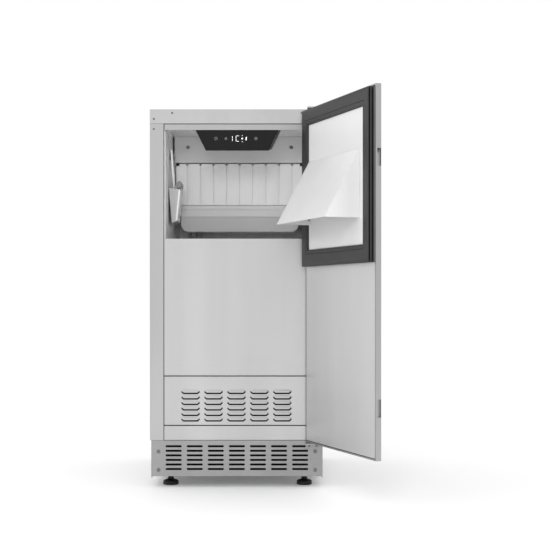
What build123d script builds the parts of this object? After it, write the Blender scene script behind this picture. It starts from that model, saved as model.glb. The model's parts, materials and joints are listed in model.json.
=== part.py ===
from build123d import *
import math
import os

os.makedirs("parts", exist_ok=True)

# Under-counter clear-ice maker, 38 cm wide, with its hinged door standing open.
# Millimetres, +Z up, front towards -Y, origin on the floor under the cabinet's middle.

# Cabinet
HALF_W = 190.0
FRONT = -280.0
BACK = 280.0
TOP = 825.0
CASE_BOTTOM = 103.0
SKIN = 1.0
JAMB_W = 30.0
RAIL_BOTTOM = 794.0

# Liner: the white one-piece tub of the ice bin and the ice-making space above it
LINER_X = 158.5
LINER_WALL = 2.0
LINER_FLOOR = 268.0
LINER_TOP = 793.8
LINER_BACK = 152.0
SILL_TOP = 542.2

# Machine compartment
DECK_Z = 240.0
BASE_Z = 26.4
BASE_SHEET = 2.0

# Levelling feet
FOOT_X = 148.0
FOOT_Y = 228.0
PAD_R = 17.0
PAD_H = 14.0
STEM_R = 5.0
STEM_TOP = 88.0

# Door, given closed and then turned to where it stands open
DOOR_X = 189.0
DOOR_Z0 = 100.5
DOOR_Z1 = 822.5
DOOR_FACE = -308.0
DOOR_INSIDE = -296.0
HINGE_X = 166.5
HINGE_Y = -305.5
OPEN_DEG = 109.5
PIN_R = 4.0
BUSH_BORE = 4.06
BUSH_R = 7.0

# Gasket frame and the liner inside it
GASKET_OUT = ((-188.0, 179.4), (480.8, 817.0))
GASKET_IN = ((-157.0, 144.6), (515.6, 783.6))
GASKET_FACE = -281.0

# Water curtain
CURTAIN_Y = -66.0
PIVOT_Y = -63.0
PIVOT_Z = 726.5

# Fan
FAN_X = -40.0
FAN_Z = 122.0
SHAFT_R = 3.0


def block(x, y, z):
    """A box between two limits on each axis."""
    size = (x[1] - x[0], y[1] - y[0], z[1] - z[0])
    middle = ((x[0] + x[1]) / 2, (y[0] + y[1]) / 2, (z[0] + z[1]) / 2)
    return Pos(*middle) * Box(*size)


def rod(start, end, radius):
    """A round bar between two points."""
    axis = Vector(*end) - Vector(*start)
    plane = Plane(origin=start, z_dir=axis)
    return Solid.make_cylinder(radius, axis.length, plane)


def pipe(points, radius, bend, bore=0.0):
    """A bent round tube through the given points."""
    path = FilletPolyline(*points, radius=bend)
    start = Plane(origin=path @ 0, z_dir=path % 0)
    outer = sweep(start * Circle(radius), path=path)
    if bore == 0.0:
        return outer
    return outer - sweep(start * Circle(bore), path=path)


def prism_x(x, outline):
    """An outline in Y and Z carried along X between two limits."""
    face = Plane.YZ * make_face(Polyline(*outline, close=True))
    return Pos(x[0], 0, 0) * extrude(face, amount=x[1] - x[0])


def prism_y(y, outline):
    """An outline in X and Z carried along Y between two limits."""
    plane = Plane(origin=(0, y[0], 0), x_dir=(1, 0, 0), z_dir=(0, -1, 0))
    face = plane * make_face(Polyline(*outline, close=True))
    return extrude(face, amount=-(y[1] - y[0]))


def flipped(shape):
    """The same shape on the other side of the cabinet's middle."""
    return mirror(shape, about=Plane.YZ)


def screw(x, y, z, head=4.2, shank=2.0, length=10.0, rise=2.2):
    """A screw driven towards the back, its head standing by rise, with a cross recess."""
    body = rod((x, y - rise, z), (x, y, z), head)
    body = chamfer(body.edges().group_by(Axis.Y)[0], rise * 0.45)
    body = body + rod((x, y - 0.1, z), (x, y + length, z), shank)
    for half_w, half_h in ((2.0, 0.5), (0.5, 2.0)):
        body = body - block((x - half_w, x + half_w), (y - 3, y - rise * 0.4), (z - half_h, z + half_h))
    return body


def save(node, *shapes):
    """One STEP file for one piece."""
    shape = shapes[0] if len(shapes) == 1 else Compound(children=list(shapes))
    export_step(shape, f"parts/{node}.step")


def hole_y(x, z, radius, y0=-300.0, y1=-250.0):
    """A drill along Y."""
    return rod((x, y0, z), (x, y1, z), radius)


# Hinge screws: three real ones on the right, three fillers in the mirrored holes
UPPER_SCREWS = ((141.2, 817.0), (181.3, 804.0), (181.3, 782.0))
LOWER_SCREWS = ((158.0, 91.0), (174.0, 91.0))
KICK_SCREWS = ((-171.0, 78.5), (-171.0, 38.4), (171.0, 78.5), (171.0, 38.4))


def side_panel():
    """Folded steel skin: side, front jamb with its return, back and bottom flanges."""
    xo = -HALF_W
    xi = -HALF_W + SKIN
    jamb = -HALF_W + JAMB_W
    lower = (CASE_BOTTOM, RAIL_BOTTOM - 0.4)
    panel = block((xo, xi), (FRONT, BACK - SKIN), lower)
    panel += block((xo, xi), (FRONT + SKIN, BACK - SKIN), (lower[1], TOP - SKIN))
    panel += block((xo, jamb), (FRONT, FRONT + SKIN), lower)
    panel += block((jamb - SKIN, jamb), (FRONT, FRONT + 12), lower)
    panel += block((xo, xo + 20), (BACK - 2 * SKIN, BACK - SKIN), (CASE_BOTTOM, TOP - SKIN))
    panel += block((xo, xo + 15), (FRONT, BACK - SKIN), (CASE_BOTTOM, CASE_BOTTOM + SKIN))
    return panel - hole_y(-UPPER_SCREWS[2][0], UPPER_SCREWS[2][1], 2.2)


save("left_side_panel", side_panel())
save("right_side_panel", flipped(side_panel()))


def front_top_rail():
    """Folded rail over the opening, notched at the right for the hinge's lug."""
    rail = block((-HALF_W, HALF_W), (FRONT, FRONT + SKIN), (RAIL_BOTTOM, TOP))
    rail += block((-HALF_W, HALF_W), (FRONT, FRONT + 12), (TOP - SKIN, TOP))
    rail += block((-160, 160), (FRONT, FRONT + 18), (RAIL_BOTTOM, RAIL_BOTTOM + SKIN))
    for x, z in UPPER_SCREWS[:2]:
        rail -= hole_y(x, z, 2.2)
        rail -= hole_y(-x, z, 2.2)
    return rail - block((152.6, 180.4), (FRONT - 1, FRONT + 20), (822.6, TOP + 1))


save("front_top_rail", front_top_rail())

top_panel = block((-HALF_W, HALF_W), (FRONT + 12, BACK), (TOP - SKIN, TOP))
top_panel += block((-HALF_W, HALF_W), (BACK - SKIN, BACK), (TOP - 13, TOP))
save("top_panel", top_panel)

rear_panel = block((-HALF_W, HALF_W), (BACK - SKIN, BACK), (262, TOP - 13.2))
for rib in (-90, 0, 90):
    rear_panel += block((rib - 9, rib + 9), (BACK, BACK + 1.4), (330, 760))
save("rear_panel", rear_panel)

machine_deck = block((-188.8, 188.8), (FRONT + 14, BACK - 2.2), (DECK_Z, DECK_Z + SKIN))
machine_deck += block((-158, 158), (FRONT + 5, FRONT + 14), (DECK_Z, DECK_Z + SKIN))
machine_deck -= rod((0, 60, DECK_Z - 1), (0, 60, DECK_Z + 2), 9.4)
save("machine_deck", machine_deck)

# White plastic liner, formed in one: bin, sill over the bin's front wall, upper space
liner = block((-LINER_X, LINER_X), (FRONT + 3.2, LINER_BACK), (LINER_FLOOR, LINER_TOP))
inner_x = LINER_X - LINER_WALL
liner -= block((-inner_x, inner_x), (-250, LINER_BACK - 2), (LINER_FLOOR + 2, LINER_TOP - 2))
liner -= block((-inner_x, inner_x), (FRONT, -249), (SILL_TOP, LINER_TOP - 2))
liner -= block((-LINER_X - 1, LINER_X + 1), (FRONT, -252), (LINER_FLOOR - 1, SILL_TOP - 2))
bin_drain = rod((0, 60, LINER_FLOOR - 1), (0, 60, LINER_FLOOR + 3), 9.0)
liner -= bin_drain
save("compartment_liner", liner)

# Foamed-in insulation between the steel skin and the liner
foam = block((-188.8, 188.8), (FRONT + 12.8, BACK - 2.2), (DECK_Z + 1.2, TOP - 1.2))
foam -= block((-LINER_X, LINER_X), (FRONT, LINER_BACK), (LINER_FLOOR, TOP - 1.2))
foam -= block((-162, 162), (FRONT, FRONT + 18.4), (DECK_Z, TOP))
foam -= block((128, 190), (FRONT, FRONT + 18.4), (774, TOP))
foam -= block((-190, -128), (FRONT, FRONT + 18.4), (774, TOP))
foam += block((-158.2, 158.2), (FRONT + 3.6, -252.2), (DECK_Z + 4.6, SILL_TOP - 2.4))
foam -= rod((0, 60, DECK_Z), (0, 60, LINER_FLOOR + 1), 9.4)
foam += block((-LINER_X, LINER_X), (-262, LINER_BACK), (LINER_TOP + 0.2, TOP - 1.2))
save("insulation_foam", foam)

top_trim_strip = block((-158, 158), (FRONT, FRONT + 1.6), (780, 793.6))
top_trim_strip += block((-158, 158), (FRONT, FRONT + 3), (780, 782))
save("top_trim_strip", top_trim_strip)


def bin_front_panel():
    """Brushed steel face of the bin wall with folded edges."""
    y0 = FRONT + 2.4
    z0 = 243.4
    z1 = SILL_TOP + 0.8
    panel = block((-159.7, 159.7), (y0, y0 + 0.8), (z0, z1))
    panel += block((-159.7, -158.9), (y0, y0 + 10), (z0, z1))
    panel += block((158.9, 159.7), (y0, y0 + 10), (z0, z1))
    panel += block((-156.2, 156.2), (y0, y0 + 14), (SILL_TOP, z1))
    panel += block((-159.7, 159.7), (y0, y0 + 10), (z0, z0 + 0.8))
    return panel


save("bin_front_panel", bin_front_panel())

# Louvred access panel: pressed hoods, each over its own slot
LOUVRE_X = (-101.2, -51.1, -1.0, 49.1, 99.2)
LOUVRE_LIPS = [206.8 - 12.0 * row for row in range(6)]
LOUVRE_W = 38.9
LOUVRE_H = 6.5


def louvred_access_panel():
    """Steel cover of the machine space; the hoods open downwards."""
    face = FRONT + 3.0
    panel = block((-159.5, 159.5), (face, face + 0.8), (135.4, 242.8))
    panel += block((-159.5, -158.7), (face, face + 10), (135.4, 242.8))
    panel += block((158.7, 159.5), (face, face + 10), (135.4, 242.8))
    hoods = []
    slots = []
    for x in LOUVRE_X:
        for lip in LOUVRE_LIPS:
            x0 = x - LOUVRE_W / 2
            x1 = x + LOUVRE_W / 2
            top = lip + LOUVRE_H
            outer = ((face, top), (face - 3.4, lip + 2.0), (face - 3.4, lip), (face, lip))
            inner = ((face + 1, top - 1.4), (face, top - 1.4), (face - 2.6, lip + 1.6))
            inner += ((face - 2.6, lip - 1.8), (face + 1, lip - 1.8))
            hoods.append(prism_x((x0, x1), outer))
            slots.append(prism_x((x0 + 0.8, x1 - 0.8), inner))
    panel = panel + hoods
    return panel - slots


save("louvred_access_panel", louvred_access_panel())

lower_front_strip = block((-159.7, 159.7), (FRONT + 1.5, FRONT + 2.5), (103.4, 134.8))
lower_front_strip += block((-159.7, 159.7), (FRONT + 1.5, FRONT + 12), (103.4, 104.4))
lower_front_strip += block((-159.7, 159.7), (FRONT + 1.5, FRONT + 12), (133.8, 134.8))
save("lower_front_strip", lower_front_strip)


def base_frame():
    """Steel pan carrying the machine: floor, side rails, pointed front tabs, foot bosses."""
    floor = (BASE_Z, BASE_Z + BASE_SHEET)
    frame = block((-187, 187), (FRONT + 3, BACK - 2), floor)
    frame += block((-187, 187), (BACK - 3.5, BACK - 2), (BASE_Z, 58))
    for side in (-1, 1):
        edge = sorted((side * 187, side * 185.5))
        lip = sorted((side * 187, side * 183.3))
        frame += block(edge, (FRONT + 1.8, BACK - 2), (24.4, CASE_BOTTOM - 0.2))
        frame += block(lip, (FRONT + 1.8, FRONT + 3.3), (24.4, CASE_BOTTOM - 0.2))
        tab = ((side * 187, 24.4), (side * 184.0, 24.4), (side * 185.8, 19.6))
        frame += prism_y((FRONT + 1.8, FRONT + 3.3), tab)
        for y in (-FOOT_Y, FOOT_Y):
            spot = (side * FOOT_X, y)
            frame += rod((*spot, BASE_Z), (*spot, 50), 9.0)
            frame -= rod((*spot, BASE_Z - 1), (*spot, 51), STEM_R + 0.06)
    return frame


save("base_frame", base_frame())

# Kick plate with its slots, 7 across and 6 down
KICK_FRONT = FRONT + 0.8
SLOT_COLUMNS = [46.0 * k for k in range(-3, 4)]
SLOT_ROWS = [89.9 - 9.94 * k for k in range(6)]


def kick_plate():
    """Slotted steel grille under the front strip, folded back along top and bottom."""
    plate = block((-186.4, 186.4), (KICK_FRONT, KICK_FRONT + SKIN), (24.6, 102.6))
    plate += block((-183, 183), (KICK_FRONT, KICK_FRONT + 2.2), (101.6, 102.6))
    face = Plane(origin=(0, KICK_FRONT - 1, 0), x_dir=(1, 0, 0), z_dir=(0, -1, 0))
    slots = []
    for x in SLOT_COLUMNS:
        for z in SLOT_ROWS:
            slots.append(extrude(face * Pos(x, z) * SlotOverall(35, 4.6), amount=-4))
    for x, z in KICK_SCREWS:
        slots.append(hole_y(x, z, 2.2))
    return plate - slots


save("kick_plate", kick_plate())

case_screws = [screw(x, KICK_FRONT, z, length=8.0) for x, z in KICK_SCREWS]
case_screws += [screw(-x, FRONT, z, head=2.7, rise=0.6) for x, z in UPPER_SCREWS]
save("case_screws", *case_screws)


# Hinge brackets
def upper_hinge_bracket():
    """L-shaped steel plate behind the rail, with a lug over the door and its pin."""
    y0 = FRONT + SKIN
    y1 = y0 + 2.5
    plate = block((134, 187.5), (y0, y1), (810, 822.6))
    plate += block((174, 187.5), (y0, y1), (776, 822.6))
    plate += block((153, 180), (y0, y1), (810, 825.8))
    plate += block((153, 180), (HINGE_Y - 12, y1), (823, 825.8))
    plate += rod((HINGE_X, HINGE_Y, 812.5), (HINGE_X, HINGE_Y, 823.5), PIN_R)
    for x, z in UPPER_SCREWS:
        plate -= hole_y(x, z, 2.05)
    return plate


save("upper_hinge_bracket", upper_hinge_bracket())


def lower_hinge_bracket():
    """Steel angle on the kick plate's top corner, with a lug under the door and its pin."""
    face = KICK_FRONT
    plate = block((150, 181), (face - 2.2, face), (84, 99.5))
    plate += block((150, 181), (HINGE_Y - 12, face), (96.7, 99.5))
    plate += rod((HINGE_X, HINGE_Y, 99.0), (HINGE_X, HINGE_Y, 110.5), PIN_R)
    for x, z in LOWER_SCREWS:
        plate -= hole_y(x, z, 2.05)
    return plate


save("lower_hinge_bracket", lower_hinge_bracket())

hinge_screws = [screw(x, FRONT, z, head=2.7, rise=0.6) for x, z in UPPER_SCREWS]
hinge_screws += [screw(x, KICK_FRONT - 2.2, z, head=2.7, length=2.0) for x, z in LOWER_SCREWS]
save("hinge_screws", *hinge_screws)


# Control head under the ceiling
HOUSING_FRONT = FRONT + 8
HOUSING_BACK = FRONT + 108


def housing_outline(inset, low, high):
    """The tapered front of the control head between two heights."""
    def half(z):
        return 68.4 + (z - 736.5) * (97.0 - 68.4) / (794.0 - 736.5) - inset

    return ((-half(low), low), (half(low), low), (half(high), high), (-half(high), high))


def control_housing():
    """Black moulded box hanging from the ceiling, its underside rising to the back."""
    shell = prism_y((HOUSING_FRONT, HOUSING_BACK), housing_outline(0, 736.5, 791.6))
    hollow = prism_y((HOUSING_FRONT + 2.4, HOUSING_BACK - 2), housing_outline(2.4, 752, 792.5))
    hollow -= block((-100, 100), (HOUSING_FRONT, HOUSING_BACK), (700, 752.5))
    slope = ((HOUSING_FRONT + 4, 736.0), (HOUSING_BACK + 1, 736.0), (HOUSING_BACK + 1, 750.0))
    return shell - hollow - prism_x((-100, 100), slope)


save("control_housing", control_housing())
save("control_fascia", prism_y((HOUSING_FRONT - 1.2, HOUSING_FRONT), housing_outline(1.2, 737.6, 790)))

board = block((-70, 70), (HOUSING_FRONT + 5, HOUSING_FRONT + 6.6), (755, 788))
board += block((-14, 24), (HOUSING_FRONT + 2.4, HOUSING_FRONT + 5), (757, 770))
for x in (-60, -46, 41, 58):
    board += rod((x, HOUSING_FRONT + 6.6, 766), (x, HOUSING_FRONT + 16, 766), 4)
save("control_board", board)


# Ice-making head
def upper_cover_panel():
    """White cover over the water distributor, folded back at both sides."""
    outline = ((-150.5, 730.6), (150.5, 730.6), (153, 791.6), (-153, 791.6))
    panel = prism_y((CURTAIN_Y, CURTAIN_Y + 2), outline)
    panel += block((-152.4, 152.4), (CURTAIN_Y, CURTAIN_Y + 14), (789.6, 791.6))
    for x in (-121, 121):
        panel -= hole_y(x, 767, 2.2, -80, -50)
    return panel


save("upper_cover_panel", upper_cover_panel())
save("cover_screws", *[screw(x, CURTAIN_Y, 767, length=8.0) for x in (-121, 121)])


def evaporator_frame():
    """White side cheeks and tie bars that carry the evaporator, curtain and trough."""
    frame = block((-153, -151), (-62, 60), (640, 788))
    frame += block((151, 153), (-62, 60), (640, 788))
    frame += block((-153, -151), (CURTAIN_Y + 2.2, -62), (720, 733.6))
    frame += block((151, 153), (CURTAIN_Y + 2.2, -62), (720, 733.6))
    frame += block((-153, 153), (44, 50), (700, 712))
    frame += block((-153, 153), (-58, -52), (763, 771))
    for x in (-121, 121):
        frame -= hole_y(x, 767, 2.05, -70, -50)
    frame -= rod((-160, PIVOT_Y, PIVOT_Z), (160, PIVOT_Y, PIVOT_Z), 2.56)
    return frame


save("evaporator_frame", evaporator_frame())


def water_curtain():
    """White ribbed flap hanging on two side pins in front of the evaporator."""
    flap = block((-149, 149), (CURTAIN_Y, CURTAIN_Y + 2.4), (631.4, 728.4))
    for k in range(9):
        x = 30.7 * (k - 4)
        flap -= block((x - 1.1, x + 1.1), (CURTAIN_Y - 1, CURTAIN_Y + 0.9), (640, 716))
        flap += block((x - 2.4, x + 2.4), (CURTAIN_Y - 0.8, CURTAIN_Y), (717.5, 721.5))
    flap += block((-149, 149), (CURTAIN_Y - 0.8, CURTAIN_Y), (631.4, 634.0))
    for side in (-1, 1):
        x0, x1 = sorted((side * 141, side * 149))
        flap += block((x0, x1), (CURTAIN_Y, PIVOT_Y + 3), (723, 728.4))
        flap += rod((side * 145, PIVOT_Y, PIVOT_Z), (side * 152.8, PIVOT_Y, PIVOT_Z), 2.5)
    return flap


save("water_curtain", water_curtain())


def evaporator_plate():
    """Tinned copper grid: freezing cells, 11 across and 3 down, on a back plate."""
    plate = block((-140, 140), (-48, -26), (646, 718))
    for k in range(11):
        for row in range(3):
            x = -138.6 + 25.26 * k
            z = 647.4 + 23.4 * row
            plate -= block((x, x + 24), (-49, -27.4), (z, z + 22))
    return plate


save("evaporator_plate", evaporator_plate())


def serpentine(x0, x1, z_low, z_high, y, passes):
    """Corner points of a snaking line that climbs from low to high."""
    points = []
    for k in range(passes):
        z = z_low + (z_high - z_low) * k / (passes - 1)
        ends = (x0, x1) if k % 2 == 0 else (x1, x0)
        points += [(ends[0], y, z), (ends[1], y, z)]
    return points


save("evaporator_coil", pipe(serpentine(-132, 132, 655, 709, -21.8, 4), 4.0, 8.9))

distributor = rod((-138, -38, 738), (138, -38, 738), 8.0)
distributor -= rod((-135, -38, 738), (135, -38, 738), 6.4)
for k in range(14):
    distributor -= rod((-130 + 20 * k, -38, 728), (-130 + 20 * k, -38, 738), 1.4)
distributor -= rod((105, -38, 738), (105, -26, 738), 4.1)
save("distribution_tube", distributor)


def water_trough():
    """White sump under the curtain: a wide rim stepping down to a rounded tank."""
    rim = block((-148.6, 148.6), (CURTAIN_Y, 40), (604, 630.6))
    tank = block((-138, 138), (CURTAIN_Y + 1, 38), (570, 604))
    low = [e for e in tank.edges().filter_by(Axis.Y) if e.center().Z < 571]
    tank = fillet(low, 17)
    trough = rim + tank
    trough += block((-149.4, 149.4), (CURTAIN_Y - 1.2, CURTAIN_Y), (617.4, 619.4))
    trough += block((-149.4, 149.4), (CURTAIN_Y - 1.2, CURTAIN_Y), (604, 606))
    trough -= block((-146.4, 146.4), (CURTAIN_Y + 2.2, 37.8), (606, 631))
    trough -= block((-135.6, 135.6), (CURTAIN_Y + 3.2, 35.6), (588, 607))
    trough -= block((-120, 120), (CURTAIN_Y + 3.2, 35.6), (572.4, 589))
    return trough


save("water_trough", water_trough())

pump = block((78, 132), (40.2, 44), (612, 700))
pump += rod((105, 72, 636), (105, 72, 690), 24)
pump += rod((105, 72, 622), (105, 72, 636), 17)
pump += block((97, 113), (44, 60), (640, 680))
pump += rod((105, 72, 690), (105, 72, 700), 6)
save("water_pump", pump)

hose_points = ((105, 72, 700.2), (105, 72, 738), (105, -30.2, 738))
save("pump_hose", pipe(hose_points, 4.0, 14, 2.6))

sensor = pipe(((-121, 12, 566), (-121, 12, 544), (-121, 60, 520), (-121, 148, 520)), 3.2, 12)
sensor += rod((-121, 12, 566), (-121, 12, 569.8), 5.0)
save("bin_sensor_tube", sensor)

drain_post = rod((-100, 10, 540), (-100, 10, 569.8), 6.5)
drain_post -= rod((-100, 10, 539), (-100, 10, 566), 4.8)
save("trough_drain_tube", drain_post)

# Scoop and its peg on the left wall
SCOOP_Y = -155.0
SCOOP_SPAN = (-195.0, -115.0)
hook = rod((-156.4, SCOOP_Y, 738), (-145, SCOOP_Y, 738), 3.5)
hook += block((-156.4, -155.0), (SCOOP_Y - 11, SCOOP_Y + 11), (728, 748))
save("scoop_hook", hook)


def ice_scoop():
    """Clear plastic scoop hanging edge-on: flat handle above, open bowl below."""
    handle = prism_y((SCOOP_Y - 11, SCOOP_Y + 11), (
        (-154.0, 750.0), (-150.2, 750.0), (-144.0, 662.0), (-148.0, 662.0)))
    bowl = prism_y(SCOOP_SPAN, ((-155.6, 661.0), (-130.0, 658.5), (-136.6, 587.0), (-148.6, 582.6)))
    inside = prism_y((SCOOP_SPAN[0] + 1.7, SCOOP_SPAN[1] - 1.7), (
        (-153.7, 659.1), (-128.0, 656.6), (-134.6, 589.4), (-147.0, 584.6)))
    collar = block((-146.0, -129.4), (SCOOP_Y - 13, SCOOP_Y + 13), (657.6, 667))
    collar = fillet(collar.edges().filter_by(Axis.Y).group_by(Axis.Z)[-1], 3.0)
    scoop = bowl + handle + collar - inside
    return scoop - rod((-160, SCOOP_Y, 738), (-130, SCOOP_Y, 738), 4.4)


save("ice_scoop", ice_scoop())


# Machine compartment
def compressor():
    """Welded black shell on a foot plate, with its three stubs."""
    plate_z = 38.0
    shell = rod((95, 150, plate_z + 2.5), (95, 150, 170), 62)
    shell = fillet(shell.edges().group_by(Axis.Z)[-1], 34)
    body = shell + rod((95, 150, 104), (95, 150, 109), 65)
    body += block((25, 165), (92, 208), (plate_z, plate_z + 2.5))
    for x in (35, 155):
        for y in (102, 198):
            body -= rod((x, y, 30), (x, y, 50), 6.2)
    body += rod((95, 150, 168), (95, 150, 184), 4.5)
    body += rod((34, 150, 128), (20, 150, 128), 4.5)
    return body


save("compressor", compressor())

grommets = []
for gx in (35, 155):
    for gy in (102, 198):
        foot = rod((gx, gy, BASE_Z + BASE_SHEET), (gx, gy, 38), 11)
        foot += rod((gx, gy, 38), (gx, gy, 45), 6.0)
        grommets.append(foot)
save("compressor_grommets", *grommets)


def condenser():
    """Copper tubes through thin aluminium fins, behind the louvres."""
    core = pipe(serpentine(-121, 41, 52, 188, -222, 7), 4.0, 11.0)
    for k in range(26):
        x = -109 + 5.5 * k
        core += block((x, x + 0.6), (-240, -204), (40, 200))
    for x in (-116, 35.4):
        core += block((x, x + 1.2), (-241, -202), (BASE_Z + BASE_SHEET, 202))
    return core


save("condenser", condenser())


def fan_shroud():
    """Sheet-metal duct behind the condenser with a round fan opening."""
    duct = block((-117, 37), (-201.6, -176), (BASE_Z + BASE_SHEET, 202))
    duct -= block((-115.8, 35.8), (-202, -177.2), (BASE_Z + BASE_SHEET + 1.2, 200.8))
    duct -= rod((FAN_X, -180, FAN_Z), (FAN_X, -170, FAN_Z), 66)
    return duct


save("fan_shroud", fan_shroud())


def fan_blade():
    """Five pitched blades on a hub."""
    hub = rod((FAN_X, -172, FAN_Z), (FAN_X, -152, FAN_Z), 13)
    blades = []
    for k in range(5):
        blade = Pos(36, 0, 0) * Rot(32, 0, 0) * Box(52, 1.6, 26)
        blades.append(Pos(FAN_X, -162, FAN_Z) * Rot(0, 72 * k, 0) * blade)
    fan = hub + blades
    return fan - rod((FAN_X, -173, FAN_Z), (FAN_X, -151, FAN_Z), SHAFT_R + 0.05)


save("fan_blade", fan_blade())


def fan_motor():
    """Round motor on three arms screwed to the shroud."""
    motor = rod((FAN_X, -140, FAN_Z), (FAN_X, -98, FAN_Z), 27)
    motor += rod((FAN_X, -171, FAN_Z), (FAN_X, -138, FAN_Z), SHAFT_R)
    for angle in (45, 165, 285):
        tip_x = FAN_X + 72 * math.cos(math.radians(angle))
        tip_z = FAN_Z + 72 * math.sin(math.radians(angle))
        motor += rod((FAN_X, -130, FAN_Z), (tip_x, -130, tip_z), 4)
        motor += rod((tip_x, -176, tip_z), (tip_x, -126.5, tip_z), 4)
    return motor


save("fan_motor", fan_motor())

drier = rod((-120, 40, 80), (-120, 130, 80), 11)
drier += rod((-120, 30, 80), (-120, 140, 80), 4)
drier = drier + block((-124, -116), (80, 92), (BASE_Z + BASE_SHEET, 70))
save("filter_drier", drier)

lines = [
    pipe(((95, 150, 184.2), (95, 150, 215), (56, 150, 215), (56, -222, 215), (56, -222, 188),
          (45.4, -222, 188)), 3.2, 8),
    pipe(((19.8, 150, 128), (0, 150, 128), (0, 215, 128), (-60, 215, 128), (-60, 215, 236)), 4.0, 12),
    pipe(((-121.2, -222, 52), (-133, -222, 52), (-133, -60, 52), (-120, -40, 80), (-120, 29.8, 80)),
         3.2, 8),
]
save("refrigerant_lines", *lines)

INLET = (-120.0, 90.0)
DRAIN = (120.0, 75.0)
GLAND = (-40.0, 90.0)


def water_inlet_valve():
    """Solenoid valve with its threaded inlet standing out of the back."""
    x, z = INLET
    valve = block((x - 16, x + 16), (238, 270), (z - 16, z + 16))
    valve += rod((x, 262, z), (x, 281, z), 12.4)
    valve += rod((x, 281, z), (x, 298, z), 13.2)
    valve -= rod((x, 268, z), (x, 299, z), 9.5)
    valve += rod((x, 254, z + 16), (x, 254, z + 46), 12)
    valve += rod((x, 225, z), (x, 238, z), 5)
    return valve


save("water_inlet_valve", water_inlet_valve())


def drain_outlet():
    """Drain elbow from the bin's floor to a spigot at the back."""
    x, z = DRAIN
    upper = pipe(((0, 60, LINER_FLOOR - 0.2), (0, 60, 225), (0, 236, 225), (x, 236, 225),
                  (x, 236, z), (x, 304, z)), 8.8, 16, 6.8)
    sleeve = rod((x, 281, z), (x, 304, z), 10.0) - rod((x, 280, z), (x, 305, z), 8.0)
    return upper + sleeve


save("drain_outlet", drain_outlet())

gland = rod((GLAND[0], 276.6, GLAND[1]), (GLAND[0], 290, GLAND[1]), 9)
gland += rod((GLAND[0], 280, GLAND[1]), (GLAND[0], 284, GLAND[1]), 12)
gland -= rod((GLAND[0], 270, GLAND[1]), (GLAND[0], 291, GLAND[1]), 4.5)
save("supply_cord_gland", gland)

box_shell = block((-70, -10), (226, 268), (140, 200))
for k in range(3):
    box_shell += block((-60 + 18 * k, -50 + 18 * k), (220, 226), (150, 190))
box_shell += block((-70, -10), (268, BACK - SKIN), (150, 156))
save("electrical_box", box_shell)


def machine_rear_cover():
    """Steel back cover of the machine space with vent slots and pipe holes."""
    cover = block((-186, 186), (BACK - SKIN, BACK), (59, 261.8))
    cuts = []
    for k in range(9):
        cuts.append(block((-150 + 34 * k, -126 + 34 * k), (270, 290), (205, 211)))
        cuts.append(block((-150 + 34 * k, -126 + 34 * k), (270, 290), (220, 226)))
        cuts.append(block((-150 + 34 * k, -126 + 34 * k), (270, 290), (235, 241)))
    cuts.append(rod((INLET[0], 270, INLET[1]), (INLET[0], 290, INLET[1]), 15))
    cuts.append(rod((DRAIN[0], 270, DRAIN[1]), (DRAIN[0], 290, DRAIN[1]), 9.4))
    cuts.append(rod((GLAND[0], 270, GLAND[1]), (GLAND[0], 290, GLAND[1]), 9))
    return cover - cuts


save("machine_rear_cover", machine_rear_cover())

# Levelling feet: a moulded pad on a threaded stem, the thread left plain
def foot_shape():
    """Turned profile: wide rim, sloping shoulder, neck and stem."""
    profile = ((0, 0), (PAD_R - 1.5, 0), (PAD_R, 1.5), (PAD_R, 8.0), (PAD_R - 2.5, 10.5), (8.0, 12.2),
               (6.6, PAD_H), (6.6, PAD_H + 3), (STEM_R, PAD_H + 3.6), (STEM_R, STEM_TOP), (0, STEM_TOP))
    return revolve(Plane.XZ * make_face(Polyline(*profile, close=True)), axis=Axis.Z)


for side_name, fx in (("left", -FOOT_X), ("right", FOOT_X)):
    for end_name, fy in (("front", -FOOT_Y), ("rear", FOOT_Y)):
        pad = Pos(fx, fy, 0) * foot_shape()
        save(f"{end_name}_{side_name}_foot", pad)


# Door. Every piece is drawn closed and turned about the hinge to stand open.
def hang(shape):
    """Turn a closed-door piece to where the door stands open."""
    return Pos(HINGE_X, HINGE_Y, 0) * Rot(0, 0, OPEN_DEG) * Pos(-HINGE_X, -HINGE_Y, 0) * shape


NOTCH_Z = (682.0, 201.0)
NOTCH_Y = (DOOR_FACE + 1.0, DOOR_INSIDE - 3.2)
notches = [block((-191, -183.2), NOTCH_Y, (z - 17, z + 17)) for z in NOTCH_Z]
pockets = [
    block((-187.5, -182.2), (NOTCH_Y[0] - 0.5, NOTCH_Y[1] + 1), (z - 18, z + 18)) for z in NOTCH_Z]
core_notches = [
    block((-191, -182.0), (NOTCH_Y[0], NOTCH_Y[1] + 1.2), (z - 18.2, z + 18.2)) for z in NOTCH_Z]
hinge_bores = [
    rod((HINGE_X, HINGE_Y, DOOR_Z1 - 14), (HINGE_X, HINGE_Y, DOOR_Z1 + 2), BUSH_R),
    rod((HINGE_X, HINGE_Y, DOOR_Z0 - 2), (HINGE_X, HINGE_Y, DOOR_Z0 + 14), BUSH_R),
]


def door_outer_skin():
    """Steel tray: front face, four edges and a narrow return round the back."""
    tray = block((-DOOR_X, DOOR_X), (DOOR_FACE, DOOR_INSIDE), (DOOR_Z0, DOOR_Z1))
    long_edges = tray.edges().filter_by(Axis.Z).group_by(Axis.Y)[0]
    tray = fillet(long_edges, 2.0)
    tray -= block((-188, 188), (DOOR_FACE + 1, DOOR_INSIDE - 1), (DOOR_Z0 + 1, DOOR_Z1 - 1))
    tray -= block((-186, 186), (DOOR_FACE + 1, DOOR_INSIDE + 1), (DOOR_Z0 + 3, DOOR_Z1 - 3))
    return tray + pockets - notches - hinge_bores


save("door_outer_skin", hang(door_outer_skin()))

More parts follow.
